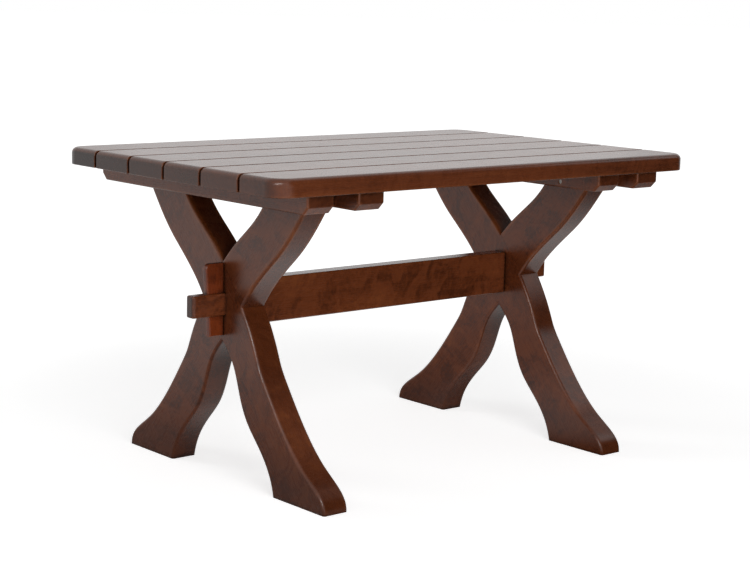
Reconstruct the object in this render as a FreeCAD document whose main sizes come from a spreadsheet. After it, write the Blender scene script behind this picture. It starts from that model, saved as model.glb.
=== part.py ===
import FreeCAD
import Part
import Sketcher
import os

# Sawbuck table: a slatted top on two crossed trestles, held by one stretcher with wedged through tenons.
# X runs along the length, Y across the width and Z up; the origin is on the floor under the top's middle.
# Trestles are "left" at -X and "right" at +X; a leg is "front" (-Y) or "rear" (+Y) by its foot.

Vector = FreeCAD.Vector
doc = FreeCAD.newDocument("sawbuck_table")

# Driving dimensions in millimetres
SIZES = {
    "top_length": 1200,
    "top_width": 790,
    "table_height": 700,
    "plank_thickness": 38,
    "plank_gap": 8,
    "corner_radius": 42,
    "top_round": 13,
    "under_round": 2,
    "arris": 1.5,
    "batten_width": 67,
    "batten_height": 39,
    "batten_setback": 18,
    "batten_chamfer": 15,
    "batten_round": 4,
    "trestle_spacing": 830,
    "leg_thickness": 63,
    "leg_round": 6,
    "toe_reach": 363,
    "arm_reach": 312,
    "crossing_height": 387,
    "lap_clearance": 0.25,
    "stretcher_height": 99,
    "stretcher_thickness": 42,
    "stretcher_round": 4,
    "tenon_height": 48,
    "tenon_thickness": 28,
    "tenon_overhang": 85,
    "tenon_nose": 7,
    "tenon_round": 4,
    "joint_clearance": 0.3,
    "slot_relief": 8,
    "wedge_rise": 66,
    "wedge_drop": 45,
    "wedge_top_width": 48,
    "wedge_foot_width": 36,
    "wedge_thickness": 14,
    "wedge_corner": 13,
    "wedge_round": 3,
    "plank_screw_pitch": 44,
    "plank_screw_shank": 4.5,
    "plank_screw_head": 8.4,
    "plank_screw_recess": 9,
    "plank_screw_bite": 22,
    "leg_screw_inset": 55,
    "leg_screw_height": 13,
    "leg_screw_shank": 6,
    "leg_screw_head": 9.5,
    "leg_screw_recess": 5,
    "leg_screw_bite": 34,
    "head_thickness": 3.2,
    "head_drive": 1.4,
    "drive_depth": 1.8,
    "bore_clearance": 0.2,
    "cut_overrun": 1,
}

sizes = doc.addObject("Spreadsheet::Sheet", "sizes")
for row, (alias, number) in enumerate(SIZES.items(), start=1):
    sizes.set("A%d" % row, alias)
    sizes.set("B%d" % row, str(number))
    sizes.setAlias("B%d" % row, alias)
doc.recompute()

PLANKS = 6

# Share of a screw head's diameter that its cross slot spans
DRIVE_SHARE = 0.6

# Two lengths closer than this are the same
TOLERANCE = 0.001

# Sizes that follow from the driving ones
PLANK_WIDTH = "((sizes.top_width - %d * sizes.plank_gap) / %d)" % (PLANKS - 1, PLANKS)
LEG_HEIGHT = "(sizes.table_height - sizes.plank_thickness)"
ARM_HEIGHT = "(%s - sizes.crossing_height)" % LEG_HEIGHT
BATTEN_HALF = "(sizes.top_width / 2 - sizes.batten_setback)"
TRESTLE_X = "(sizes.trestle_spacing / 2)"
HALF_LEG = "(sizes.leg_thickness / 2)"
BATTEN_OFFSET = "((sizes.leg_thickness + sizes.batten_width) / 2)"
SHOULDER_X = "(%s - %s)" % (TRESTLE_X, HALF_LEG)
OUTER_FACE_X = "(%s + %s)" % (TRESTLE_X, HALF_LEG)
TENON_END_X = "(%s + sizes.tenon_overhang)" % OUTER_FACE_X
WEDGE_HEIGHT = "(sizes.wedge_rise + sizes.tenon_height + sizes.wedge_drop)"
WEDGE_SLOPE = "((sizes.wedge_top_width - sizes.wedge_foot_width) / %s)" % WEDGE_HEIGHT
SCREW_REACH = "(sizes.arm_reach - sizes.leg_screw_inset)"
PLANK_BORE = "(sizes.plank_screw_shank + 2 * sizes.bore_clearance)"
PLANK_SEAT = "(sizes.plank_screw_head + 2 * sizes.bore_clearance)"
LEG_BORE = "(sizes.leg_screw_shank + 2 * sizes.bore_clearance)"
LEG_SEAT = "(sizes.leg_screw_head + 2 * sizes.bore_clearance)"


def value(expression):
    """The number that an expression of the sheet's cells gives."""
    return float(sizes.evalExpression(expression))


def bind(thing, **expressions):
    """Tie properties of an object to expressions; a double underscore stands for a dot."""
    for name, expression in expressions.items():
        thing.setExpression(name.replace("__", "."), expression)


def new_body(name):
    body = doc.addObject("PartDesign::Body", name)
    body.Label = name
    return body


def new_sketch(body, name, role, offset=None):
    """A sketch on one of the body's own origin planes, or above it by an expression."""
    sketch = body.newObject("Sketcher::SketchObject", name)
    plane = [feature for feature in body.Origin.OriginFeatures if feature.Role == role][0]
    sketch.AttachmentSupport = [(plane, "")]
    sketch.MapMode = "FlatFace"
    if offset:
        bind(sketch, AttachmentOffset__Base__z=offset)
    return sketch


def tie(sketch, geometry, position, across, up):
    """Fix one point of a sketch at two expressions."""
    for kind, expression in (("DistanceX", across), ("DistanceY", up)):
        rule = Sketcher.Constraint(kind, -1, 1, geometry, position, value(expression))
        index = sketch.addConstraint(rule)
        sketch.setExpression("Constraints[%d]" % index, expression)


def polygon(sketch, corners):
    points = [Vector(value(across), value(up), 0) for across, up in corners]
    count = len(points)
    for index in range(count):
        sketch.addGeometry(Part.LineSegment(points[index], points[(index + 1) % count]), False)
    for index in range(count):
        sketch.addConstraint(Sketcher.Constraint("Coincident", index, 2, (index + 1) % count, 1))
    for index, (across, up) in enumerate(corners):
        tie(sketch, index, 1, across, up)


def circles(sketch, centres, diameter):
    for index, (across, up) in enumerate(centres):
        centre = Vector(value(across), value(up), 0)
        circle = sketch.addGeometry(Part.Circle(centre, Vector(0, 0, 1), value(diameter) / 2), False)
        tie(sketch, circle, 3, across, up)
        if index:
            sketch.addConstraint(Sketcher.Constraint("Equal", 0, circle))
        else:
            rule = sketch.addConstraint(Sketcher.Constraint("Diameter", circle, value(diameter)))
            sketch.setExpression("Constraints[%d]" % rule, diameter)


def spline(sketch, poles):
    """A clamped cubic curve with its poles tied to expressions."""
    degree = 3
    spans = len(poles) - degree
    curve = Part.BSplineCurve()
    curve.buildFromPolesMultsKnots(
        [Vector(value(across), value(up), 0) for across, up in poles],
        [degree + 1] + [1] * (spans - 1) + [degree + 1],
        [index / spans for index in range(spans + 1)],
        False,
        degree,
    )
    geometry = sketch.addGeometry(curve, False)
    first_pole = sketch.GeometryCount
    sketch.exposeInternalGeometry(geometry)
    for index, (across, up) in enumerate(poles):
        tie(sketch, first_pole + index, 3, across, up)
    return geometry


def pad(body, sketch, length, symmetric=False):
    feature = body.newObject("PartDesign::Pad", sketch.Name + "_pad")
    feature.Profile = sketch
    feature.SideType = "Symmetric" if symmetric else "One side"
    bind(feature, Length=length)
    sketch.Visibility = False
    doc.recompute()


def pocket(body, sketch, length, symmetric=False):
    """Cut from the sketch along its own normal, or evenly to both sides of it."""
    feature = body.newObject("PartDesign::Pocket", sketch.Name + "_pocket")
    feature.Profile = sketch
    feature.SideType = "Symmetric" if symmetric else "One side"
    feature.Reversed = not symmetric
    bind(feature, Length=length)
    sketch.Visibility = False
    before = feature.BaseFeature.Shape.Volume
    doc.recompute()
    if feature.Shape.Volume >= before:
        raise RuntimeError("%s cuts nothing" % feature.Name)


def round_edges(body, name, radius, chosen):
    """Round those edges of the body's tip for which chosen is true."""
    base = body.Tip
    edges = ["Edge%d" % number for number, edge in enumerate(base.Shape.Edges, start=1) if chosen(edge)]
    feature = body.newObject("PartDesign::Fillet", name)
    feature.Base = (base, edges)
    bind(feature, Radius=radius)
    doc.recompute()


def near(first, second):
    return abs(first - second) < TOLERANCE


def lies_at(edge, axis, level):
    """Whether an edge lies in the plane where the axis has this level."""
    box = edge.BoundBox
    return near(getattr(box, axis + "Min"), level) and near(getattr(box, axis + "Max"), level)


def runs_along(edge, axis):
    box = edge.BoundBox
    others = [name for name in "XYZ" if name != axis]
    return all(getattr(box, name + "Length") < TOLERANCE for name in others)


# Slatted top
def make_plank(number):
    """One plank, counted from the front; the two outer ones carry the top's rounded corners."""
    label = "top_plank_%d" % number
    body = new_body(label)
    half_length = "(sizes.top_length / 2)"
    board = new_sketch(body, label + "_board", "XY_Plane")
    polygon(board, [
        ("-" + half_length, "0"),
        (half_length, "0"),
        (half_length, PLANK_WIDTH),
        ("-" + half_length, PLANK_WIDTH),
    ])
    pad(body, board, "sizes.plank_thickness")

    far_end = value(half_length)
    width = value(PLANK_WIDTH)
    thickness = value("sizes.plank_thickness")
    outer_sides = [side for side, outermost in ((0, 1), (width, PLANKS)) if number == outermost]
    inner_sides = [side for side in (0, width) if side not in outer_sides]

    def on_rim(edge, level):
        """Whether an edge of a face at this level belongs to the top's outline."""
        return lies_at(edge, "Z", level) and not any(lies_at(edge, "Y", side) for side in inner_sides)

    for side in outer_sides:
        round_edges(
            body, label + "_corners", "sizes.corner_radius",
            lambda edge: runs_along(edge, "Z") and lies_at(edge, "Y", side),
        )
    round_edges(body, label + "_rim", "sizes.top_round", lambda edge: on_rim(edge, thickness))
    round_edges(body, label + "_under", "sizes.under_round", lambda edge: on_rim(edge, 0))
    round_edges(
        body, label + "_arris", "sizes.arris",
        lambda edge: any(lies_at(edge, "Y", side) for side in inner_sides),
    )

    rows = [sign + "(%s %s %s)" % (TRESTLE_X, step, BATTEN_OFFSET) for sign in "-+" for step in "-+"]
    columns = ["(%s %s sizes.plank_screw_pitch) / 2" % (PLANK_WIDTH, step) for step in "-+"]
    bores = new_sketch(body, label + "_bores", "XY_Plane")
    circles(bores, [(row, column) for row in rows for column in columns], PLANK_BORE)
    pocket(body, bores, "sizes.plank_screw_bite + sizes.cut_overrun")

    bind(
        body,
        Placement__Base__y="-sizes.top_width / 2 + %d * (%s + sizes.plank_gap)" % (number - 1, PLANK_WIDTH),
        Placement__Base__z=LEG_HEIGHT,
    )
    return body


# Battens under the top
def plank_screw_rows():
    """Where the plank screws stand across the width, from front to rear."""
    rows = []
    for number in range(PLANKS):
        middle = "-sizes.top_width / 2 + %d * (%s + sizes.plank_gap) + %s / 2" % (
            number, PLANK_WIDTH, PLANK_WIDTH)
        rows += ["%s %s sizes.plank_screw_pitch / 2" % (middle, step) for step in "-+"]
    return rows


def make_batten(label, side, offset_sign):
    """A batten beside the arms; the inner ones are bored for the screws that hold the arms."""
    body = new_body(label)
    profile = new_sketch(body, label + "_profile", "YZ_Plane")
    polygon(profile, [
        ("-(%s - sizes.batten_chamfer)" % BATTEN_HALF, "0"),
        ("%s - sizes.batten_chamfer" % BATTEN_HALF, "0"),
        (BATTEN_HALF, "sizes.batten_chamfer"),
        (BATTEN_HALF, "sizes.batten_height"),
        ("-" + BATTEN_HALF, "sizes.batten_height"),
        ("-" + BATTEN_HALF, "sizes.batten_chamfer"),
    ])
    pad(body, profile, "sizes.batten_width", symmetric=True)
    height = value("sizes.batten_height")
    round_edges(body, label + "_edges", "sizes.batten_round", lambda edge: not lies_at(edge, "Z", height))

    centres = [("0", row) for row in plank_screw_rows()]
    bores = new_sketch(body, label + "_bores", "XY_Plane")
    circles(bores, centres, PLANK_BORE)
    pocket(body, bores, "sizes.batten_height")
    seats = new_sketch(body, label + "_seats", "XY_Plane")
    circles(seats, centres, PLANK_SEAT)
    pocket(body, seats, "sizes.plank_screw_recess")

    if offset_sign == "-":
        centres = [(sign + SCREW_REACH, "sizes.leg_screw_height") for sign in "-+"]
        arm_bores = new_sketch(body, label + "_arm_bores", "YZ_Plane", "-sizes.batten_width / 2")
        circles(arm_bores, centres, LEG_BORE)
        pocket(body, arm_bores, "sizes.batten_width")
        arm_seats = new_sketch(
            body, label + "_arm_seats", "YZ_Plane", "sizes.batten_width / 2 - sizes.leg_screw_recess")
        circles(arm_seats, centres, LEG_SEAT)
        pocket(body, arm_seats, "sizes.leg_screw_recess")

    turn = {"left": 0, "right": 180}[side]
    body.Placement.Rotation = FreeCAD.Rotation(Vector(0, 0, 1), turn)
    side_sign = "-" if side == "left" else "+"
    bind(
        body,
        Placement__Base__x="%s(%s %s %s)" % (side_sign, TRESTLE_X, offset_sign, BATTEN_OFFSET),
        Placement__Base__z="%s - sizes.batten_height" % LEG_HEIGHT,
    )
    return body


# Crossed legs
# Poles of a leg's two edges, from the foot to the top of the arm. The first number is a share of the toe's
# reach to one side or of the arm's reach to the other. The second is a share of the height below the
# crossing, and past 1 a share of the arm above it.
UPPER_EDGE = (
    (-1.000, 0.000), (-1.000, 0.105), (-0.755, 0.173), (-0.402, 0.636), (-0.365, 0.690),
    (-0.281, 0.903), (0.111, 1.546), (0.419, 1.714), (0.533, 2.000),
)
LOWER_EDGE = (
    (-0.517, 0.000), (-0.475, 0.183), (-0.188, 0.348), (-0.143, 0.691), (0.113, 0.847),
    (0.279, 1.113), (0.536, 1.371), (0.758, 1.584), (1.000, 2.000),
)


def leg_pole(share, rise, side, widen):
    reach = "sizes.toe_reach" if share < 0 else "sizes.arm_reach"
    across = "%d * (%.3f * %s %s)" % (side, share, reach, widen)
    if rise > 1:
        return across, "sizes.crossing_height + %.3f * %s" % (rise - 1, ARM_HEIGHT)
    return across, "%.3f * sizes.crossing_height" % rise


def leg_blank(name, side, thickness, start, widen=("", "")):
    """A leg's full outline as a board, from start along X; side 1 puts its foot at the front."""
    body = new_body(name)
    outline = new_sketch(body, name + "_outline", "YZ_Plane")
    edges = []
    for shares, extra in zip((UPPER_EDGE, LOWER_EDGE), widen):
        poles = [leg_pole(share, rise, side, extra) for share, rise in shares]
        edges.append((spline(outline, poles), poles))
    upper, lower = edges
    for end, index in ((1, 0), (2, -1)):
        corners = [Vector(value(poles[index][0]), value(poles[index][1]), 0) for _, poles in edges]
        line = outline.addGeometry(Part.LineSegment(*corners), False)
        outline.addConstraint(Sketcher.Constraint("Coincident", upper[0], end, line, 1))
        outline.addConstraint(Sketcher.Constraint("Coincident", lower[0], end, line, 2))
    pad(body, outline, thickness)
    bind(body, Placement__Base__x=start)
    doc.recompute()
    return body


def new_boolean(kind, name, base, tool):
    feature = doc.addObject("Part::" + kind, name)
    feature.Base = base
    feature.Tool = tool
    feature.Label = name
    doc.recompute()
    return feature


def make_bar(name, length, width, height, centre_x, centre_z):
    """A box centred on the middle plane of the table."""
    bar = doc.addObject("Part::Box", name)
    bind(
        bar,
        Length=length,
        Width=width,
        Height=height,
        Placement__Base__x="%s - (%s) / 2" % (centre_x, length),
        Placement__Base__y="-(%s) / 2" % width,
        Placement__Base__z="%s - (%s) / 2" % (centre_z, height),
    )
    return bar


def make_legs():
    """Both trestles: two halved legs each, the right trestle being the left one turned about."""
    wider = ("- sizes.lap_clearance", "+ sizes.lap_clearance")
    blanks = {
        "front": leg_blank("front_blank", 1, "sizes.leg_thickness", "-" + HALF_LEG),
        "rear": leg_blank("rear_blank", -1, "sizes.leg_thickness", "-" + HALF_LEG),
    }
    notches = {
        "front": leg_blank("front_notch", -1, HALF_LEG, "0", wider),
        "rear": leg_blank("rear_notch", 1, HALF_LEG, "-" + HALF_LEG, wider),
    }
    cross = new_boolean("Fuse", "cross", blanks["front"], blanks["rear"])
    cross.Refine = True
    doc.recompute()

    radius = value("sizes.leg_round")
    rounded = doc.addObject("Part::Fillet", "rounded_cross")
    rounded.Base = cross
    rounded.Edges = [
        (number, radius, radius) for number, edge in enumerate(cross.Shape.Edges, start=1)
        if edge.BoundBox.XLength < TOLERANCE < edge.BoundBox.ZLength
    ]
    doc.recompute()

    mortise = make_bar(
        "mortise",
        "sizes.leg_thickness + 2 * sizes.cut_overrun",
        "sizes.tenon_thickness + 2 * sizes.joint_clearance",
        "sizes.tenon_height + 2 * sizes.joint_clearance",
        "0",
        "sizes.crossing_height",
    )
    legs = []
    for foot, arm_sign, mate in (("front", "+", "rear"), ("rear", "-", "front")):
        board = new_boolean("Common", foot + "_board", rounded, blanks[foot])
        halved = new_boolean("Cut", foot + "_halved", board, notches[foot])
        mortised = new_boolean("Cut", foot + "_mortised", halved, mortise)
        bore = doc.addObject("Part::Cylinder", foot + "_bore")
        bore.Placement.Rotation = FreeCAD.Rotation(Vector(0, 1, 0), -90)
        bind(
            bore,
            Radius="%s / 2" % LEG_BORE,
            Height="sizes.leg_screw_bite + sizes.cut_overrun",
            Placement__Base__x=HALF_LEG,
            Placement__Base__y=arm_sign + SCREW_REACH,
            Placement__Base__z="%s - sizes.batten_height + sizes.leg_screw_height" % LEG_HEIGHT,
        )
        left = new_boolean("Cut", "left_%s_leg" % foot, mortised, bore)
        bind(left, Placement__Base__x="-" + TRESTLE_X)
        right = new_boolean("Cut", "right_%s_leg" % mate, mortised, bore)
        right.Placement.Rotation = FreeCAD.Rotation(Vector(0, 0, 1), 180)
        bind(right, Placement__Base__x=TRESTLE_X)
        legs += [left, right]
    return legs


# Stretcher and its wedges
def make_stretcher():
    """The board between the trestles, with a slotted tenon through each crossing."""
    body = new_body("stretcher")
    bars = (
        ("board", SHOULDER_X, "sizes.stretcher_height", "sizes.stretcher_thickness"),
        ("tenons", TENON_END_X, "sizes.tenon_height", "sizes.tenon_thickness"),
    )
    for name, half_length, height, thickness in bars:
        sketch = new_sketch(body, name, "XZ_Plane")
        polygon(sketch, [
            ("-" + half_length, "-%s / 2" % height),
            (half_length, "-%s / 2" % height),
            (half_length, "%s / 2" % height),
            ("-" + half_length, "%s / 2" % height),
        ])
        pad(body, sketch, thickness, symmetric=True)

    shoulder = value(SHOULDER_X)
    half_height = value("sizes.stretcher_height / 2")
    half_thickness = value("sizes.stretcher_thickness / 2")

    def on_shoulder(edge):
        """Whether an edge belongs to the outline of a shoulder and not to the root of its tenon."""
        at_end = any(lies_at(edge, "X", level) for level in (-shoulder, shoulder))
        outline = [("Y", half_thickness), ("Y", -half_thickness), ("Z", half_height), ("Z", -half_height)]
        return at_end and any(lies_at(edge, axis, level) for axis, level in outline)

    round_edges(
        body, "board_edges", "sizes.stretcher_round",
        lambda edge: near(edge.BoundBox.XLength, 2 * shoulder) or on_shoulder(edge),
    )
    tenon_end = value(TENON_END_X)
    round_edges(
        body, "tenon_noses", "sizes.tenon_nose",
        lambda edge: runs_along(edge, "Z") and near(abs(edge.CenterOfMass.x), tenon_end),
    )
    round_edges(
        body, "tenon_edges", "sizes.tenon_round",
        lambda edge: abs(edge.CenterOfMass.x) > shoulder + TOLERANCE,
    )

    slot_width = "sizes.wedge_thickness + 2 * sizes.joint_clearance"
    slot_edge = "(%s + sizes.wedge_foot_width + %s * sizes.wedge_drop)" % (OUTER_FACE_X, WEDGE_SLOPE)
    slot_rise = "(%s * sizes.tenon_height)" % WEDGE_SLOPE
    for name, sign in (("left_slot", "-"), ("right_slot", "+")):
        slot = new_sketch(body, name, "XZ_Plane")
        polygon(slot, [
            ("%s(%s - sizes.slot_relief)" % (sign, OUTER_FACE_X), "-sizes.tenon_height / 2"),
            ("%s%s" % (sign, slot_edge), "-sizes.tenon_height / 2"),
            ("%s(%s + %s)" % (sign, slot_edge, slot_rise), "sizes.tenon_height / 2"),
            ("%s(%s - sizes.slot_relief)" % (sign, OUTER_FACE_X), "sizes.tenon_height / 2"),
        ])
        pocket(body, slot, slot_width, symmetric=True)
    bind(body, Placement__Base__z="sizes.crossing_height")
    return body


def make_wedge(label, side):
    """A tusk that drops through the tenon against the outer face of the crossing."""
    body = new_body(label)
    taper = new_sketch(body, label + "_taper", "XZ_Plane")
    polygon(taper, [
        ("0", "0"),
        ("0", WEDGE_HEIGHT),
        ("-sizes.wedge_top_width", WEDGE_HEIGHT),
        ("-sizes.wedge_foot_width", "0"),
    ])
    pad(body, taper, "sizes.wedge_thickness", symmetric=True)
    top = value(WEDGE_HEIGHT)
    back = -value("sizes.wedge_top_width")
    round_edges(
        body, label + "_shoulder", "sizes.wedge_corner",
        lambda edge: runs_along(edge, "Y") and lies_at(edge, "Z", top) and lies_at(edge, "X", back),
    )
    round_edges(
        body, label + "_edges", "sizes.wedge_round",
        lambda edge: not runs_along(edge, "Y"),
    )
    turn = {"left": 0, "right": 180}[side]
    side_sign = "-" if side == "left" else "+"
    body.Placement.Rotation = FreeCAD.Rotation(Vector(0, 0, 1), turn)
    bind(
        body,
        Placement__Base__x=side_sign + OUTER_FACE_X,
        Placement__Base__z="sizes.crossing_height - sizes.tenon_height / 2 - sizes.wedge_drop",
    )
    return body


# Screws
def make_screw(name, shank, head, length):
    """One screw along Z with the underside of its head at the origin and a cross slot below."""
    bolt = doc.addObject("Part::Cylinder", name + "_shank")
    bind(bolt, Radius="%s / 2" % shank, Height=length)
    cap = doc.addObject("Part::Cylinder", name + "_head")
    bind(
        cap,
        Radius="%s / 2" % head,
        Height="sizes.head_thickness",
        Placement__Base__z="-sizes.head_thickness",
    )
    screw = new_boolean("Fuse", name + "_plain", bolt, cap)
    span = "%s * %s" % (head, DRIVE_SHARE)
    for index, (length_along, width) in enumerate(((span, "sizes.head_drive"), ("sizes.head_drive", span))):
        slot = make_bar(
            "%s_drive_%d" % (name, index), length_along, width, "sizes.drive_depth",
            "0", "sizes.drive_depth / 2 - sizes.head_thickness")
        screw = new_boolean("Cut", "%s_cut_%d" % (name, index), screw, slot)
    return screw


def make_group(label, screw, seats):
    """Copies of one screw as separate solids, each at a seat and turned to its axis."""
    copies = []
    for position, axis in seats:
        copy = screw.Shape.copy()
        copy.Placement = FreeCAD.Placement(position, FreeCAD.Rotation(Vector(0, 0, 1), axis))
        copies.append(copy)
    group = doc.addObject("Part::Feature", label)
    group.Label = label
    group.Shape = Part.makeCompound(copies)
    return group


def make_screws():
    plank_length = "sizes.batten_height - sizes.plank_screw_recess + sizes.plank_screw_bite"
    leg_length = "sizes.batten_width - sizes.leg_screw_recess + sizes.leg_screw_bite"
    plank_screw = make_screw(
        "plank_screw", "sizes.plank_screw_shank", "sizes.plank_screw_head", plank_length)
    leg_screw = make_screw("leg_screw", "sizes.leg_screw_shank", "sizes.leg_screw_head", leg_length)
    batten_foot = value("%s - sizes.batten_height" % LEG_HEIGHT)
    groups = []
    for side, sign in (("left", -1), ("right", 1)):
        for place, step in (("inner", "-"), ("outer", "+")):
            across = sign * value("%s %s %s" % (TRESTLE_X, step, BATTEN_OFFSET))
            level = batten_foot + value("sizes.plank_screw_recess")
            seats = [(Vector(across, value(row), level), Vector(0, 0, 1)) for row in plank_screw_rows()]
            groups.append(make_group("%s_%s_plank_screws" % (side, place), plank_screw, seats))
        face = sign * value("%s - sizes.batten_width + sizes.leg_screw_recess" % SHOULDER_X)
        level = batten_foot + value("sizes.leg_screw_height")
        reach = value(SCREW_REACH)
        seats = [(Vector(face, arm * reach, level), Vector(sign, 0, 0)) for arm in (-1, 1)]
        groups.append(make_group("%s_leg_screws" % side, leg_screw, seats))
    return groups


nodes = [make_plank(number) for number in range(1, PLANKS + 1)]
for side in ("left", "right"):
    nodes.append(make_batten(side + "_outer_batten", side, "+"))
    nodes.append(make_batten(side + "_inner_batten", side, "-"))
nodes += make_legs()
nodes.append(make_stretcher())
nodes += [make_wedge("left_wedge", "left"), make_wedge("right_wedge", "right")]
nodes += make_screws()
doc.recompute()

for thing in doc.Objects:
    if "Invalid" in thing.State or "Error" in thing.State:
        raise RuntimeError("%s did not rebuild" % thing.Label)

os.makedirs("parts", exist_ok=True)
for node in nodes:
    if node.Shape.isNull() or not node.Shape.isValid():
        raise RuntimeError("%s has no valid shape" % node.Label)
    node.Shape.exportStep(os.path.join("parts", node.Label + ".step"))
print("%d nodes written" % len(nodes))
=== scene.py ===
import math
from typing import NamedTuple

import bmesh
import bpy
from bpy.props import FloatProperty, FloatVectorProperty, PointerProperty
from mathutils import Euler, Matrix, Vector


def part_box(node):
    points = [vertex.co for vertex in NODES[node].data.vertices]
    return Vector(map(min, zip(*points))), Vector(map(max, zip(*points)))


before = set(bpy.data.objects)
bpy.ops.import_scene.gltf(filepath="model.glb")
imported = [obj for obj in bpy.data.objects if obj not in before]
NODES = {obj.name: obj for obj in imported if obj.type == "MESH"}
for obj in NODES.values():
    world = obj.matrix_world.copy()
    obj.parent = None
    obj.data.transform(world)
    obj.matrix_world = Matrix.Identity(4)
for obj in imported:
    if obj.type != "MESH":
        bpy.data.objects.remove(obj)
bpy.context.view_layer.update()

bl_info = {
    "name": "Sawbuck Table",
    "version": (1, 0, 0),
    "blender": (4, 5, 0),
    "location": "View3D > Sidebar > Table",
    "description": "Dresses a slatted sawbuck table in stained wood and sets it on a pale studio floor",
    "category": "Object",
}

PLANKS = sorted(name for name in NODES if name.startswith("top_plank"))
BATTENS = sorted(name for name in NODES if name.endswith("batten"))
LEGS = sorted(name for name in NODES if name.endswith("_leg"))
WEDGES = sorted(name for name in NODES if name.endswith("_wedge"))
SCREWS = sorted(name for name in NODES if name.endswith("_screws"))


class Ramp(NamedTuple):
    """A smooth step: the span of what goes in, and what its two ends become"""

    low: float
    high: float
    first: float = 0.0
    last: float = 1.0


class Pattern(NamedTuple):
    """A noise drawn out along the grain: how fine it is along and across, and how rough and bent"""

    along: float
    across: float
    detail: float
    roughness: float = 0.5
    distortion: float = 0.0


class Stain(NamedTuple):
    """How one kind of piece takes the stain.

    figure is how strongly the stain flames and feathers across the grain, grain how strongly it streaks
    along it, rub how far the edges are worn and edge how broadly, tint the board's own cast, end_axis the
    way that the cut ends face and end_share how dark they are. The first piece comes from one place in the
    tree, and each further one is a step away.
    """

    figure: float
    grain: float
    rub: float
    first_board: tuple
    board_step: tuple = (0.0, 0.0, 0.0)
    edge: float = 1.0
    tint: tuple = (1.0, 1.0, 1.0)
    end_axis: str = ""
    end_share: float = 0.7
    leg: bool = False

    def board(self, index):
        return tuple(first + index * step for first, step in zip(self.first_board, self.board_step))


class Lamp(NamedTuple):
    """A soft light: its place and aim, how wide and high it is, its turn about its aim and what it lights"""

    place: tuple
    aim: tuple
    size: tuple
    turn: float = 0.0
    diffuse: bool = True
    glossy: bool = True


WHITE = (1.0, 1.0, 1.0, 1.0)
BLACK = (0.0, 0.0, 0.0, 1.0)
CLOTH = (0.01, 0.01, 0.01, 1.0)

# Sockets of a Mix node that work on colours: share, first, second and the result
MIX_INPUTS = (0, 6, 7)
MIX_OUTPUT = 2

# Turns that lay the grain, which runs along X, along a piece; the legs lean this far from upright
QUARTER_TURN = math.radians(90.0)
ALONG_TABLE = (0.0, 0.0, 0.0)
ACROSS_TABLE = (0.0, 0.0, QUARTER_TURN)
UPRIGHT = (0.0, QUARTER_TURN, 0.0)
LEG_LEAN = math.radians(40.0)

PLANK_STAIN = Stain(
    figure=0.2, grain=0.2, rub=0.3, end_axis="X",
    first_board=(0.2, 0.0, 0.4), board_step=(0.83, 0.31, 0.17))
BATTEN_STAIN = Stain(
    figure=0.3, grain=0.2, rub=0.5, tint=(1.2, 1.18, 1.1), end_axis="Y", end_share=0.45,
    first_board=(3.0, 0.0, 0.4), board_step=(1.3, 0.23, -0.3))
LEG_STAIN = Stain(
    figure=0.5, grain=0.12, rub=0.95, edge=1.7, tint=(1.16, 1.1, 0.92), leg=True,
    first_board=(5.0, 0.0, 0.2), board_step=(0.7, 0.41, 0.27))
STRETCHER_STAIN = Stain(
    figure=0.45, grain=0.12, rub=0.7, edge=0.45, tint=(1.25, 1.2, 1.05), end_axis="X",
    first_board=(7.3, 0.9, 0.1))
WEDGE_STAIN = Stain(
    figure=0.4, grain=0.12, rub=0.5, edge=0.35, tint=(1.42, 1.0, 0.6), end_axis="Z",
    first_board=(9.1, 0.2, 0.0), board_step=(0.6, 0.0, 0.35))

# How dark the front plank's ends are, and how much darker each further plank's, the step being painted shade
# for the light that falls on the ends from the front
FRONT_END_SHARE = 0.35
PAINTED_END_SHADE_STEP = 0.13

# Patterns of the wood; flame and feather lie steeply across the grain
BOARD = Pattern(along=1.5, across=7.0, detail=2.0)
FLAME = Pattern(along=8.0, across=20.0, detail=4.0, roughness=0.55, distortion=1.2)
FEATHER = Pattern(along=26.0, across=170.0, detail=3.0, roughness=0.6, distortion=0.6)
STREAK = Pattern(along=4.0, across=130.0, detail=5.0, roughness=0.6)
FIBRE = Pattern(along=40.0, across=1300.0, detail=2.0)
FEATHER_TURN = (math.radians(-45.0), 0.0, math.radians(-69.0))
RING_STRETCH = (0.35, 1.0, 1.0)
RING_SCALE = 26.0
RING_DISTORTION = 5.0
RING_DETAIL = 2.0
RING_DETAIL_SCALE = 1.6
RING_DETAIL_ROUGHNESS = 0.5

# Share of the patterns in the stain's tone; flame and feather go with the figure, the rings with the grain
MIDDLE_TONE = 0.5
BOARD_WEIGHT = 0.3
FLAME_WEIGHT = 0.9
FEATHER_WEIGHT = 0.5
RING_WEIGHT = 0.5
NOISE_SPAN = Ramp(0.3, 0.7)
RING_SPAN = Ramp(0.0, 1.0)

# Tones from dark to body and from body to light stain, and the fibres that drink it as pores
DARK_TO_BODY = Ramp(0.0, 0.55)
BODY_TO_LIGHT = Ramp(0.5, 1.1)
PORES = Ramp(0.56, 0.7)

# Openness of worn edges and of gaps darkened by dirt and painted shade, wear along the streaks, and how
# squarely a cut end faces outward
OCCLUSION_SAMPLES = 8
WORN_EDGE = Ramp(0.9, 0.55)
STREAKED_WEAR = Ramp(0.3, 0.7, 0.5, 1.0)
GAP_DIRT_AND_SHADE = Ramp(0.8, 0.35, 0.0, 0.85)
CUT_END = Ramp(0.8, 0.97)

# Height of the stretcher's middle, where the legs cross, and how far their halved joint reaches from it
CROSSING_HEIGHT = sum(corner.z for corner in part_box("stretcher")) / 2
JOINT_REACH = 0.085
CLEAR_OF_JOINT = Ramp(JOINT_REACH, 1.3 * JOINT_REACH)

# Scale that flattens a place onto the trestle's plane
TRESTLE_PLANE = (0.0, 1.0, 1.0)
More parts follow.
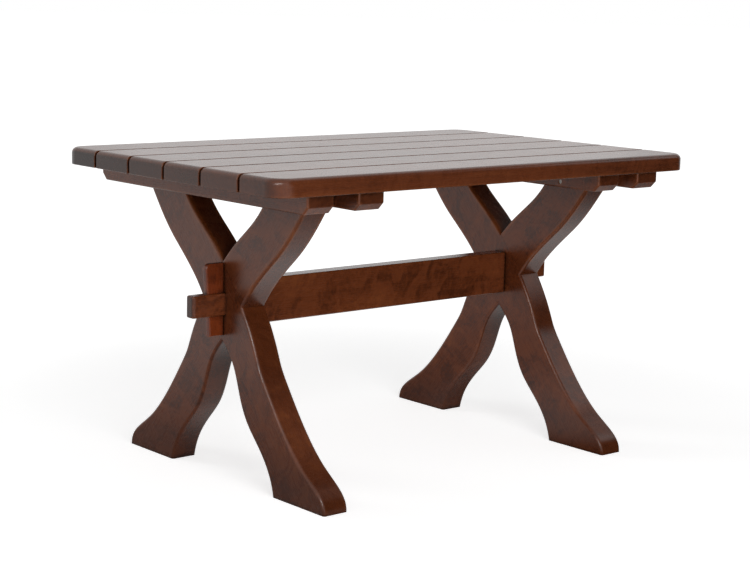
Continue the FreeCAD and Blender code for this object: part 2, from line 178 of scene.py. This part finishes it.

# Legs: wear by height; the sawn sides by how they face and by height, darkened partly for their stain and
# partly as painted shade that deepens up towards the crossing; and the dark foot
LEG_WEAR = Ramp(0.3, 0.45, 0.12, 1.0)
SAWN_SIDE = Ramp(0.8, 0.4)
SIDE_SHADE_HEIGHT = Ramp(0.16, 0.26, 0.15, 0.6)
DARK_FOOT = Ramp(0.02, 0.13, 0.5, 0.0)

# Lacquer: how it bends light, and how far the wood beneath shows in its gloss and relief
LACQUER_IOR = 1.42
GLOSS_OFFSET = -0.05
FLAME_GLOSS = 0.06
FIBRE_GLOSS = 0.05
RELIEF_SHARE = 0.5
BUMP_STRENGTH = 0.1
WOOD_RELIEF = 0.0006

# Zinc: the size and depth of its bloom, and how much duller it is in places
BLOOM_SCALE = 700.0
BLOOM_DETAIL = 4.0
BLOOM_ROUGHNESS = 0.6
BLOOM_COLOUR = Ramp(0.35, 0.65)
BLOOM_GLOSS = Ramp(0.3, 0.7, 0.28, 0.45)
BLOOM_RELIEF = 0.0002
DULL_SHARE = 0.55

# Floor by distance: plain white further out, and bright spots that the arms' undersides mirror
FLOOR_FADE = Ramp(0.9, 2.6)
FAR_FLOOR = Ramp(0.6, 2.0)
MIDDLE_SPOT = Ramp(0.25, 0.5, 0.8, 0.0)
RIGHT_SPOT = Ramp(0.2, 0.5, 0.8, 0.0)
RIGHT_SPOT_PLACE = Vector((0.95, 0.0, 0.0))
FLOOR_SIDES = 96

# Direction of the studio's dark side, and how near to it the dark begins
DARK_SIDE = (0.722, -0.622, 0.301)
DARK_EDGE = Ramp(0.6, 0.86)
DOME_SUBDIVISIONS = 4

KEY_LAMP = Lamp(place=(-1.2, -3.5, 1.6), aim=(0.0, 0.0, 0.45), size=(2.2, 2.2), glossy=False)
STRIP_LAMP = Lamp(
    place=(-2.85, -1.66, 1.82), aim=(-0.44, -0.12, 0.28), size=(2.0, 0.25),
    turn=math.radians(23.0), diffuse=False)
REAR_LAMP = Lamp(place=(3.2, 3.8, 1.7), aim=(0.0, 0.0, 0.7), size=(2.6, 2.6))
FILL_LAMP = Lamp(place=(-2.2, 3.4, 1.1), aim=(-0.4, 0.0, 0.4), size=(1.2, 1.2), glossy=False)
SIDE_LAMP = Lamp(place=(2.54, -1.18, 2.13), aim=(0.42, -0.1, 0.3), size=(1.0, 1.0), diffuse=False)

SENSOR_WIDTH = 36.0
VIEW_DEPTH = 500.0


class TableFinish(bpy.types.PropertyGroup):
    """Stain and lacquer of the wood, and the plating of the screws"""

    stain_dark: FloatVectorProperty(
        name="Dark Stain", description="Stain where the wood drinks most of it",
        subtype="COLOR", size=3, min=0.0, max=1.0, default=(0.045, 0.0108, 0.0038))
    stain_body: FloatVectorProperty(
        name="Body Stain", description="Stain over most of the wood",
        subtype="COLOR", size=3, min=0.0, max=1.0, default=(0.112, 0.0285, 0.0095))
    stain_light: FloatVectorProperty(
        name="Light Stain", description="Stain on the closed, lighter wood",
        subtype="COLOR", size=3, min=0.0, max=1.0, default=(0.175, 0.05, 0.0155))
    rubbed_edge: FloatVectorProperty(
        name="Rubbed Edge", description="Wood where sanding thinned the stain along the edges",
        subtype="COLOR", size=3, min=0.0, max=1.0, default=(0.32, 0.1, 0.03))
    end_grain: FloatVectorProperty(
        name="End Grain", description="Stain on the cut ends, which take up the most",
        subtype="COLOR", size=3, min=0.0, max=1.0, default=(0.02, 0.0065, 0.0035))
    lacquer_roughness: FloatProperty(
        name="Lacquer Roughness", description="How far the semi-gloss lacquer blurs what it reflects",
        subtype="FACTOR", min=0.0, max=1.0, default=0.27)
    edge_width: FloatProperty(
        name="Edge Width", description="Width of the rubbed band along an edge",
        unit="LENGTH", min=0.0, max=0.02, default=0.01)
    # Dirt together with painted shade: ambient occlusion darkens gaps, joints and inner corners towards this
    # colour
    gap_dirt_and_shade: FloatVectorProperty(
        name="Gap Dirt And Shade", description="Stain and dirt that gather in the gaps and inner corners",
        subtype="COLOR", size=3, min=0.0, max=1.0, default=(0.014, 0.0045, 0.002))
    # Reach of the ambient occlusion that paints shade and dirt into gaps and inner corners
    gap_depth: FloatProperty(
        name="Gap Depth", description="How far apart two faces stand for dirt to gather between them",
        unit="LENGTH", min=0.0, max=0.1, default=0.02)
    zinc: FloatVectorProperty(
        name="Zinc", description="Plating of the screws",
        subtype="COLOR", size=3, min=0.0, max=1.0, default=(0.62, 0.6, 0.56))


class TableStage(bpy.types.PropertyGroup):
    """Camera, floor and studio light"""

    camera_place: FloatVectorProperty(
        name="Camera Place", description="Where the camera stands",
        subtype="TRANSLATION", unit="LENGTH", size=3, default=(-2.6268, -3.06728, 1.06186))
    camera_yaw: FloatProperty(
        name="Camera Yaw", description="Turn from the front towards the right end",
        subtype="ANGLE", default=math.radians(40.408))
    camera_pitch: FloatProperty(
        name="Camera Pitch", description="Tilt up from level",
        subtype="ANGLE", default=math.radians(-9.362))
    camera_roll: FloatProperty(
        name="Camera Roll", description="Turn about the line of sight",
        subtype="ANGLE", default=math.radians(1.345))
    camera_lens: FloatProperty(
        name="Focal Length", description="Lens on a sensor 36 mm wide",
        unit="CAMERA", min=1.0, default=84.895)
    floor_colour: FloatVectorProperty(
        name="Floor", description="Pale floor",
        subtype="COLOR", size=3, min=0.0, max=1.0, default=(0.75, 0.75, 0.75))
    floor_lift: FloatProperty(
        name="Floor Lift",
        description="Plain white that lightens the floor near the table and softens its shadow",
        subtype="FACTOR", min=0.0, max=1.0, default=0.7)
    floor_radius: FloatProperty(
        name="Floor Radius", description="Size of the floor", unit="LENGTH", min=1.0, default=60.0)
    dome_radius: FloatProperty(
        name="Dome Radius", description="Size of the dome whose dark side the front faces mirror",
        unit="LENGTH", min=5.0, default=15.0)
    key_power: FloatProperty(
        name="Key Light", description="Power of the large soft light above the front",
        unit="POWER", default=80.0)
    strip_power: FloatProperty(
        name="Strip Light",
        description="Power of the strip light at the left end that draws the edges' highlights",
        unit="POWER", default=45.0)
    fill_power: FloatProperty(
        name="Fill Light", description="Power of the soft light behind the left end",
        unit="POWER", default=36.0)
    rear_power: FloatProperty(
        name="Rear Light", description="Power of the soft light behind that the top mirrors",
        unit="POWER", default=3.3)
    side_power: FloatProperty(
        name="Side Light", description="Power of the soft light that the right legs mirror",
        unit="POWER", default=5.0)
    sky_level: FloatProperty(
        name="Room Light", description="Level of the even light from all round", min=0.0, default=0.2)


def opaque(colour):
    return (*colour, 1.0)


class Shader:
    """The node tree of a material or world, with short ways to add and join nodes"""

    def __init__(self, owner):
        self.owner = owner
        owner.use_nodes = True
        self.tree = owner.node_tree
        self.tree.nodes.clear()

    def feed(self, socket, value):
        """Joins a socket to another one, or gives it a plain value."""
        if isinstance(value, bpy.types.NodeSocket):
            self.tree.links.new(value, socket)
        else:
            socket.default_value = value

    def add(self, kind, settings=None, *ordered, **named):
        """Adds a node; ordered values feed its inputs in turn, and named ones the inputs of that name."""
        node = self.tree.nodes.new(kind)
        for key, value in (settings or {}).items():
            setattr(node, key, value)
        for socket, value in zip(node.inputs, ordered):
            self.feed(socket, value)
        for key, value in named.items():
            self.feed(node.inputs[key.replace("_", " ")], value)
        return node

    def math(self, operation, *numbers):
        return self.add("ShaderNodeMath", {"operation": operation}, *numbers).outputs[0]

    def measure(self, operation, *vectors):
        """A number that comes from vectors, such as a length."""
        return self.add("ShaderNodeVectorMath", {"operation": operation}, *vectors).outputs["Value"]

    def place(self):
        return self.add("ShaderNodeTexCoord").outputs["Object"]

    def mapped(self, vector, **change):
        return self.add("ShaderNodeMapping", Vector=vector, **change).outputs[0]

    def spread(self, value, ramp):
        """Maps a value smoothly along a ramp."""
        node = self.add(
            "ShaderNodeMapRange", {"interpolation_type": "SMOOTHSTEP"},
            Value=value, From_Min=ramp.low, From_Max=ramp.high, To_Min=ramp.first, To_Max=ramp.last)
        return node.outputs[0]

    def mix(self, share, first, second, blend="MIX"):
        node = self.add("ShaderNodeMix", {"data_type": "RGBA", "blend_type": blend})
        for index, value in zip(MIX_INPUTS, (share, first, second)):
            self.feed(node.inputs[index], value)
        return node.outputs[MIX_OUTPUT]

    def show(self, surface):
        """Puts a shader on the surface and gives the finished material."""
        self.add("ShaderNodeOutputMaterial", Surface=surface.outputs[0])
        return self.owner


class StainedWood(Shader):
    """Fine-grained wood under a brown stain and semi-gloss lacquer"""

    def __init__(self, name, stain, turn, index):
        super().__init__(bpy.data.materials.new(name + "_stain"))
        self.stain = stain
        self.finish = bpy.context.scene.table_finish
        self.spot = self.place()
        self.height = self.add("ShaderNodeSeparateXYZ", Vector=self.spot).outputs["Z"]
        normal = self.add("ShaderNodeNewGeometry").outputs["True Normal"]
        self.facing = self.add("ShaderNodeSeparateXYZ", Vector=normal).outputs

        grain_space = self.mapped(self.spot, Rotation=turn)
        grain_space = self.mapped(grain_space, Location=stain.board(index))
        feather_space = self.mapped(grain_space, Rotation=FEATHER_TURN)
        self.board = self.pattern(BOARD, grain_space)
        self.flame = self.pattern(FLAME, feather_space)
        self.feather = self.pattern(FEATHER, feather_space)
        self.streak = self.pattern(STREAK, grain_space)
        self.fibre = self.pattern(FIBRE, grain_space)
        self.rings = self.add(
            "ShaderNodeTexWave", {"wave_type": "RINGS", "rings_direction": "X", "wave_profile": "SIN"},
            Vector=self.mapped(grain_space, Scale=RING_STRETCH), Scale=RING_SCALE,
            Distortion=RING_DISTORTION, Detail=RING_DETAIL, Detail_Scale=RING_DETAIL_SCALE,
            Detail_Roughness=RING_DETAIL_ROUGHNESS).outputs["Fac"]

    def pattern(self, kind, space):
        stretched = self.mapped(space, Scale=(kind.along, kind.across, kind.across))
        node = self.add(
            "ShaderNodeTexNoise", Vector=stretched, Scale=1.0, Detail=kind.detail,
            Roughness=kind.roughness, Distortion=kind.distortion)
        return node.outputs[0]

    def openness(self, distance, inside):
        node = self.add(
            "ShaderNodeAmbientOcclusion", {"inside": inside, "samples": OCCLUSION_SAMPLES},
            Distance=distance)
        return node.outputs["AO"]

    def stained(self):
        """The stain's colour, from dark through body to light, with dark pores."""
        figure, grain = self.stain.figure, self.stain.grain
        tone = MIDDLE_TONE
        for pattern, span, weight in (
            (self.board, NOISE_SPAN, BOARD_WEIGHT),
            (self.flame, NOISE_SPAN, FLAME_WEIGHT * figure),
            (self.feather, NOISE_SPAN, FEATHER_WEIGHT * figure),
            (self.streak, NOISE_SPAN, grain),
            (self.rings, RING_SPAN, RING_WEIGHT * grain),
        ):
            swing = span._replace(first=-weight / 2, last=weight / 2)
            tone = self.math("ADD", tone, self.spread(pattern, swing))
        dark = opaque(self.finish.stain_dark)
        colour = self.mix(self.spread(tone, DARK_TO_BODY), dark, opaque(self.finish.stain_body))
        colour = self.mix(self.spread(tone, BODY_TO_LIGHT), colour, opaque(self.finish.stain_light))
        return self.mix(self.spread(self.fibre, PORES._replace(last=grain)), colour, dark)

    def sawn_sides_and_shade(self, colour):
        """Darkens a leg's sawn sides for their darker stain and with painted shade, most of all above the
        feet.
        """
        share = self.spread(self.math("ABSOLUTE", self.facing["X"]), SAWN_SIDE)
        share = self.math("MULTIPLY", share, self.spread(self.height, SIDE_SHADE_HEIGHT))
        return self.mix(share, colour, opaque(self.finish.stain_dark))

    def leg_wear(self):
        """How far a leg's edges are worn: most on the arms, least at the feet, none at the halved joint."""
        from_joint = self.mapped(self.spot, Scale=TRESTLE_PLANE, Location=(0.0, 0.0, -CROSSING_HEIGHT))
        clear = self.spread(self.measure("LENGTH", from_joint), CLEAR_OF_JOINT)
        return self.math("MULTIPLY", clear, self.spread(self.height, LEG_WEAR))

    def worn(self, colour):
        """Rubs the stain off along the edges."""
        convex = self.openness(self.stain.edge * self.finish.edge_width, inside=True)
        share = self.spread(convex, WORN_EDGE._replace(last=self.stain.rub))
        share = self.math("MULTIPLY", share, self.spread(self.streak, STREAKED_WEAR))
        if self.stain.leg:
            share = self.math("MULTIPLY", share, self.leg_wear())
        return self.mix(share, colour, opaque(self.finish.rubbed_edge))

    def dark_ends(self, colour):
        """Darkens the end grain."""
        toward_end = self.math("ABSOLUTE", self.facing[self.stain.end_axis])
        share = self.spread(toward_end, CUT_END._replace(last=self.stain.end_share))
        return self.mix(share, colour, opaque(self.finish.end_grain))

    def lacquered(self, colour):
        """The finished material under its lacquer."""
        flame_gloss = self.math("MULTIPLY", self.flame, FLAME_GLOSS)
        fibre_gloss = self.math("MULTIPLY", self.fibre, FIBRE_GLOSS)
        gloss = self.math("ADD", self.finish.lacquer_roughness + GLOSS_OFFSET, flame_gloss)
        gloss = self.math("ADD", gloss, fibre_gloss)
        fibre_relief = self.math("MULTIPLY", self.fibre, RELIEF_SHARE)
        streak_relief = self.math("MULTIPLY", self.streak, RELIEF_SHARE)
        relief = self.math("ADD", fibre_relief, streak_relief)
        bump = self.add("ShaderNodeBump", Strength=BUMP_STRENGTH, Distance=WOOD_RELIEF, Height=relief)
        surface = self.add(
            "ShaderNodeBsdfPrincipled", Base_Color=colour, Roughness=gloss, Normal=bump.outputs[0])
        surface.inputs["IOR"].default_value = LACQUER_IOR
        return self.show(surface)


def stained_wood(name, stain, turn, index=0):
    """Gives a piece its wood; turn lays the grain along it, and index picks its board."""
    wood = StainedWood(name, stain, turn, index)
    colour = wood.stained()
    if stain.leg:
        # Sawn sides: darker stain plus painted shade
        colour = wood.sawn_sides_and_shade(colour)
    colour = wood.worn(colour)
    colour = wood.mix(1.0, colour, opaque(stain.tint), "MULTIPLY")
    if stain.leg:
        colour = wood.mix(wood.spread(wood.height, DARK_FOOT), colour, opaque(wood.finish.stain_dark))
    if stain.end_axis:
        colour = wood.dark_ends(colour)
    # Dirt and painted shade in the gaps, joints and inner corners, found by ambient occlusion
    open_air = wood.openness(wood.finish.gap_depth, inside=False)
    colour = wood.mix(wood.spread(open_air, GAP_DIRT_AND_SHADE), colour, opaque(wood.finish.gap_dirt_and_shade))
    dress(name, wood.lacquered(colour))


def dress(name, material):
    """Gives a CAD node its finish."""
    node = NODES[name]
    node.data.materials.clear()
    node.data.materials.append(material)


class TABLE_OT_planks(bpy.types.Operator):
    """Stain the planks of the top, each from its own board"""

    bl_idname = "table.planks"
    bl_label = "Planks"

    def execute(self, context):
        for index, name in enumerate(PLANKS):
            # Ends of planks further back are darker by painted shade, on top of the end grain's stain
            stain = PLANK_STAIN._replace(end_share=FRONT_END_SHARE + PAINTED_END_SHADE_STEP * index)
            stained_wood(name, stain, ALONG_TABLE, index)
        return {"FINISHED"}


class TABLE_OT_battens(bpy.types.Operator):
    """Stain the battens, whose grain runs across the table"""

    bl_idname = "table.battens"
    bl_label = "Battens"

    def execute(self, context):
        for index, name in enumerate(BATTENS):
            stained_wood(name, BATTEN_STAIN, ACROSS_TABLE, index)
        return {"FINISHED"}


def leg_turn(name):
    """The turn that leans the grain with a leg, by the side where its foot stands."""
    low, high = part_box(name)
    foot_in_front = abs(low.y) > abs(high.y)
    lean = QUARTER_TURN - LEG_LEAN if foot_in_front else QUARTER_TURN + LEG_LEAN
    upright = Euler((-lean, 0.0, 0.0)).to_matrix()
    along_y = Matrix.Rotation(-QUARTER_TURN, 3, "Z")
    return (along_y @ upright).to_euler()


class TABLE_OT_legs(bpy.types.Operator):
    """Stain the crossed legs, whose grain leans with them"""

    bl_idname = "table.legs"
    bl_label = "Legs"

    def execute(self, context):
        for index, name in enumerate(LEGS):
            stained_wood(name, LEG_STAIN, leg_turn(name), index)
        return {"FINISHED"}


class TABLE_OT_stretcher(bpy.types.Operator):
    """Stain the stretcher, whose grain runs along the table"""

    bl_idname = "table.stretcher"
    bl_label = "Stretcher"

    def execute(self, context):
        stained_wood("stretcher", STRETCHER_STAIN, ALONG_TABLE)
        return {"FINISHED"}


class TABLE_OT_wedges(bpy.types.Operator):
    """Stain the wedges, whose grain is upright"""

    bl_idname = "table.wedges"
    bl_label = "Wedges"

    def execute(self, context):
        for index, name in enumerate(WEDGES):
            stained_wood(name, WEDGE_STAIN, UPRIGHT, index)
        return {"FINISHED"}


def zinc_plating(zinc):
    """Zinc with a faint bloom that is duller in places."""
    shader = Shader(bpy.data.materials.new("zinc_plating"))
    bloom = shader.add(
        "ShaderNodeTexNoise", Vector=shader.place(), Scale=BLOOM_SCALE, Detail=BLOOM_DETAIL,
        Roughness=BLOOM_ROUGHNESS).outputs[0]
    dull = tuple(DULL_SHARE * part for part in zinc)
    colour = shader.mix(shader.spread(bloom, BLOOM_COLOUR), opaque(dull), opaque(zinc))
    bump = shader.add("ShaderNodeBump", Strength=BUMP_STRENGTH, Distance=BLOOM_RELIEF, Height=bloom)
    surface = shader.add(
        "ShaderNodeBsdfPrincipled", Base_Color=colour, Metallic=1.0,
        Roughness=shader.spread(bloom, BLOOM_GLOSS), Normal=bump.outputs[0])
    return shader.show(surface)


class TABLE_OT_screws(bpy.types.Operator):
    """Plate the screws with zinc"""

    bl_idname = "table.screws"
    bl_label = "Screws"

    def execute(self, context):
        plating = zinc_plating(context.scene.table_finish.zinc)
        for name in SCREWS:
            dress(name, plating)
        return {"FINISHED"}


def area_light(name, lamp, power):
    """Sets up a soft light."""
    light = bpy.data.lights.new(name, "AREA")
    light.shape = "RECTANGLE"
    light.size, light.size_y = lamp.size
    light.energy = power
    holder = bpy.data.objects.new(name, light)
    holder.location = lamp.place
    level = (Vector(lamp.aim) - Vector(lamp.place)).to_track_quat("-Z", "Y").to_matrix()
    holder.rotation_euler = (level @ Matrix.Rotation(lamp.turn, 3, "Z")).to_euler()
    holder.visible_diffuse = lamp.diffuse
    holder.visible_glossy = lamp.glossy
    bpy.context.scene.collection.objects.link(holder)


def dark_share(shader, place):
    """How dark the studio looks in the gloss at a place: black towards the front right, white elsewhere."""
    way = shader.add("ShaderNodeVectorMath", {"operation": "NORMALIZE"}, place).outputs["Vector"]
    return shader.spread(shader.measure("DOT_PRODUCT", way, DARK_SIDE), DARK_EDGE)


def floor_material(stage):
    """Pale floor that keeps the table's soft shadow and fades to plain white further out."""
    shader = Shader(bpy.data.materials.new("studio_floor"))
    place = shader.place()
    distance = shader.measure("LENGTH", place)
    path = shader.add("ShaderNodeLightPath").outputs
    fade = shader.spread(distance, FLOOR_FADE._replace(first=stage.floor_lift))
    seen = shader.math("MULTIPLY", path["Is Camera Ray"], fade)

    mirrored = shader.math("MAXIMUM", path["Is Glossy Ray"], path["Is Transmission Ray"])
    dark = dark_share(shader, place)
    lit = shader.math("SUBTRACT", 1.0, dark)
    far = shader.math("MULTIPLY", shader.spread(distance, FAR_FLOOR), lit)
    bright = shader.math("MAXIMUM", shader.spread(distance, MIDDLE_SPOT), far)
    from_right_spot = shader.measure("LENGTH", shader.mapped(place, Location=-RIGHT_SPOT_PLACE))
    bright = shader.math("MAXIMUM", bright, shader.spread(from_right_spot, RIGHT_SPOT))

    plain = shader.math("MULTIPLY", mirrored, shader.math("MAXIMUM", bright, dark))
    shade = shader.mix(plain, opaque(stage.floor_colour), BLACK)
    matt = shader.add("ShaderNodeBsdfDiffuse", Color=shade)
    lift = shader.math("MAXIMUM", seen, shader.math("MULTIPLY", mirrored, bright))
    white = shader.add("ShaderNodeEmission", Color=WHITE, Strength=lift)
    return shader.show(shader.add("ShaderNodeAddShader", None, matt.outputs[0], white.outputs[0]))


def stage_object(name, shape, material):
    """Makes an object of the studio from a finished bmesh."""
    mesh = bpy.data.meshes.new(name)
    shape.to_mesh(mesh)
    shape.free()
    mesh.materials.append(material)
    thing = bpy.data.objects.new(name, mesh)
    bpy.context.scene.collection.objects.link(thing)
    return thing


def pale_floor(stage):
    """A wide round floor."""
    shape = bmesh.new()
    bmesh.ops.create_circle(shape, cap_ends=True, segments=FLOOR_SIDES, radius=stage.floor_radius)
    stage_object("floor", shape, floor_material(stage))


def black_cloth():
    """Cloth that is black towards the front right and clear elsewhere."""
    shader = Shader(bpy.data.materials.new("black_cloth"))
    dark = dark_share(shader, shader.place())
    clear = shader.add("ShaderNodeBsdfTransparent")
    cloth = shader.add("ShaderNodeBsdfDiffuse", Color=CLOTH)
    return shader.show(shader.add("ShaderNodeMixShader", None, dark, clear.outputs[0], cloth.outputs[0]))


def dark_dome(stage):
    """A wide dome of cloth that shows only in the gloss of the wood."""
    shape = bmesh.new()
    bmesh.ops.create_icosphere(shape, subdivisions=DOME_SUBDIVISIONS, radius=stage.dome_radius)
    dome = stage_object("dark_dome", shape, black_cloth())
    dome.visible_camera = False
    dome.visible_diffuse = False
    dome.visible_shadow = False


def studio_world(stage):
    """White where the camera or a glossy face looks, and an even room light for the rest."""
    shader = Shader(bpy.data.worlds.new("studio"))
    path = shader.add("ShaderNodeLightPath").outputs
    seen = shader.math("MAXIMUM", path["Is Camera Ray"], path["Is Glossy Ray"])
    seen = shader.math("MAXIMUM", seen, path["Is Transmission Ray"])
    level = shader.add("ShaderNodeMapRange", Value=seen, To_Min=stage.sky_level, To_Max=1.0)
    light = shader.add("ShaderNodeBackground", Color=WHITE, Strength=level.outputs[0])
    shader.add("ShaderNodeOutputWorld", Surface=light.outputs[0])
    return shader.owner


def stage_camera(stage):
    """Sets the camera at the photo's angle."""
    lens = bpy.data.cameras.new("camera")
    lens.sensor_fit = "HORIZONTAL"
    lens.sensor_width = SENSOR_WIDTH
    lens.lens = stage.camera_lens
    lens.clip_end = VIEW_DEPTH
    camera = bpy.data.objects.new("camera", lens)
    level_turn = Euler((QUARTER_TURN + stage.camera_pitch, 0.0, -stage.camera_yaw)).to_matrix()
    camera.location = stage.camera_place
    camera.rotation_euler = (level_turn @ Matrix.Rotation(stage.camera_roll, 3, "Z")).to_euler()
    bpy.context.scene.collection.objects.link(camera)
    return camera


class TABLE_OT_stage(bpy.types.Operator):
    """Set the camera, the pale floor and the studio light"""

    bl_idname = "table.stage"
    bl_label = "Stage"

    def execute(self, context):
        scene = context.scene
        stage = scene.table_stage
        pale_floor(stage)
        dark_dome(stage)
        scene.world = studio_world(stage)
        area_light("key_light", KEY_LAMP, stage.key_power)
        area_light("strip_light", STRIP_LAMP, stage.strip_power)
        area_light("rear_light", REAR_LAMP, stage.rear_power)
        area_light("fill_light", FILL_LAMP, stage.fill_power)
        area_light("side_light", SIDE_LAMP, stage.side_power)
        scene.camera = stage_camera(stage)
        scene.view_settings.view_transform = "Standard"
        return {"FINISHED"}


class TABLE_PT_panel(bpy.types.Panel):
    """Buttons and values of the table"""

    bl_idname = "TABLE_PT_panel"
    bl_label = "Sawbuck Table"
    bl_space_type = "VIEW_3D"
    bl_region_type = "UI"
    bl_category = "Table"

    def draw(self, context):
        layout = self.layout
        for operator in OPERATORS:
            layout.operator(operator.bl_idname)
        for group in (context.scene.table_finish, context.scene.table_stage):
            box = layout.box()
            for name in group.bl_rna.properties.keys():
                if name not in ("rna_type", "name"):
                    box.prop(group, name)


OPERATORS = (
    TABLE_OT_planks,
    TABLE_OT_battens,
    TABLE_OT_legs,
    TABLE_OT_stretcher,
    TABLE_OT_wedges,
    TABLE_OT_screws,
    TABLE_OT_stage,
)
CLASSES = (TableFinish, TableStage, *OPERATORS, TABLE_PT_panel)


def register():
    for kind in CLASSES:
        bpy.utils.register_class(kind)
    bpy.types.Scene.table_finish = PointerProperty(type=TableFinish)
    bpy.types.Scene.table_stage = PointerProperty(type=TableStage)


def unregister():
    del bpy.types.Scene.table_stage
    del bpy.types.Scene.table_finish
    for kind in reversed(CLASSES):
        bpy.utils.unregister_class(kind)


def main():
    register()
    bpy.ops.table.planks()
    bpy.ops.table.battens()
    bpy.ops.table.legs()
    bpy.ops.table.stretcher()
    bpy.ops.table.wedges()
    bpy.ops.table.screws()
    bpy.ops.table.stage()


if __name__ == "__main__":
    main()
